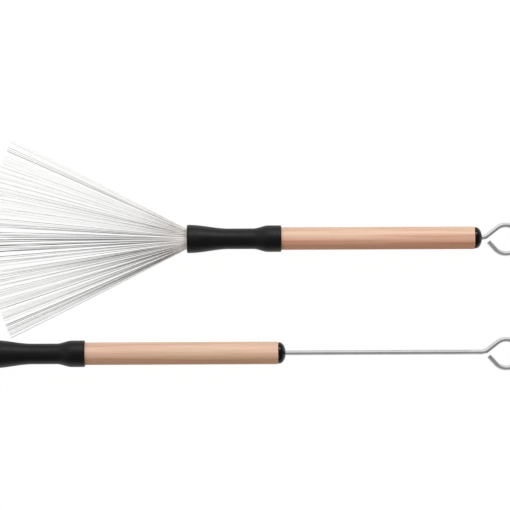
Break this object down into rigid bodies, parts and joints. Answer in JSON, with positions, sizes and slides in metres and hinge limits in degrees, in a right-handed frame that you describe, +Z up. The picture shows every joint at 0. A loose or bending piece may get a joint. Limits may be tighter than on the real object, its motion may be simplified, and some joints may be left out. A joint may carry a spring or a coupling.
{
  "type": "retractable wire drum brush pair",
  "caption": "Pair of retractable wire drum brushes, one open in a flat fan and one drawn in, with wooden handles, black grips and steel pull rods that end in finger loops.",
  "frame": {"origin": "on the surface that the pair lies on, under the middle of its box", "axes": "+X from the wire tips to the finger loops, +Y from the closed brush to the open brush, +Z up"},
  "size_m": [0.337, 0.1456, 0.0179],
  "materials": {
    "wood": "satin lacquer over lengthwise grain",
    "grip_rubber": "matte",
    "tube_aluminium": "drawn",
    "cap_plastic": "gloss",
    "bush_plastic": "matte",
    "ring_rubber": "matte",
    "rod_steel": "bright drawn wire",
    "ferrule_brass": "crimped",
    "wire_steel": "bright spring wire"
  },
  "bodies": {
    "open_handle": {"open_wood_handle": "wood", "open_front_grip": "grip_rubber", "open_guide_tube": "tube_aluminium", "open_end_cap": "cap_plastic", "open_rod_bush": "bush_plastic"},
    "open_ring": {"open_friction_ring": "ring_rubber"},
    "open_rod": {"open_pull_rod": "rod_steel", "open_wire_ferrule": "ferrule_brass", "open_wires_centre": "wire_steel"},
    "open_wires_left": {"open_wires_left": "wire_steel"},
    "open_wires_right": {"open_wires_right": "wire_steel"},
    "closed_handle": {"closed_wood_handle": "wood", "closed_front_grip": "grip_rubber", "closed_guide_tube": "tube_aluminium", "closed_end_cap": "cap_plastic", "closed_rod_bush": "bush_plastic"},
    "closed_ring": {"closed_friction_ring": "ring_rubber"},
    "closed_rod": {"closed_pull_rod": "rod_steel", "closed_wire_ferrule": "ferrule_brass", "closed_wires_centre": "wire_steel"},
    "closed_wires_left": {"closed_wires_left": "wire_steel"},
    "closed_wires_right": {"closed_wires_right": "wire_steel"}
  },
  "joints": [
    {"name": "open_rod_turn", "type": "hinge", "parent": "open_handle", "child": "open_ring", "pos_m": [0.12829, 0.01057, 0.00895], "axis": [1, 0, 0], "continuous": true},
    {"name": "open_rod_slide", "type": "slide", "parent": "open_ring", "child": "open_rod", "axis": [1, 0, 0], "range_m": [0, 0.124], "deforming": ["open_wires_left", "open_wires_centre", "open_wires_right"]},
    {"name": "open_left_spread", "type": "hinge", "parent": "open_rod", "child": "open_wires_left", "pos_m": [-0.03586, 0.01057, 0.00895], "axis": [0, 0, 1], "range_deg": [-18.3, 0]},
    {"name": "open_right_spread", "type": "hinge", "parent": "open_rod", "child": "open_wires_right", "pos_m": [-0.03586, 0.01057, 0.00895], "axis": [0, 0, 1], "range_deg": [0, 18.3]},
    {"name": "closed_rod_turn", "type": "hinge", "parent": "closed_handle", "child": "closed_ring", "pos_m": [0.00429, -0.06143, 0.00895], "axis": [1, 0, 0], "continuous": true},
    {"name": "closed_rod_slide", "type": "slide", "parent": "closed_ring", "child": "closed_rod", "axis": [1, 0, 0], "range_m": [-0.124, 0], "deforming": ["closed_wires_left", "closed_wires_centre", "closed_wires_right"]},
    {"name": "closed_left_spread", "type": "hinge", "parent": "closed_rod", "child": "closed_wires_left", "pos_m": [-0.03586, -0.06143, 0.00895], "axis": [0, 0, 1], "range_deg": [0, 26.4]},
    {"name": "closed_right_spread", "type": "hinge", "parent": "closed_rod", "child": "closed_wires_right", "pos_m": [-0.03586, -0.06143, 0.00895], "axis": [0, 0, 1], "range_deg": [-26.4, 0]},
    {"name": "closed_brush_aside", "type": "slide", "parent": "open_handle", "child": "closed_handle", "axis": [0, -1, 0], "range_m": [0, 0.15]}
  ],
  "couplings": [
    {"joint": "open_left_spread", "follows": "open_rod_slide", "rad_per_m": -2.575},
    {"joint": "open_right_spread", "follows": "open_rod_slide", "rad_per_m": 2.575},
    {"joint": "closed_left_spread", "follows": "closed_rod_slide", "rad_per_m": -3.715},
    {"joint": "closed_right_spread", "follows": "closed_rod_slide", "rad_per_m": 3.715}
  ]
}
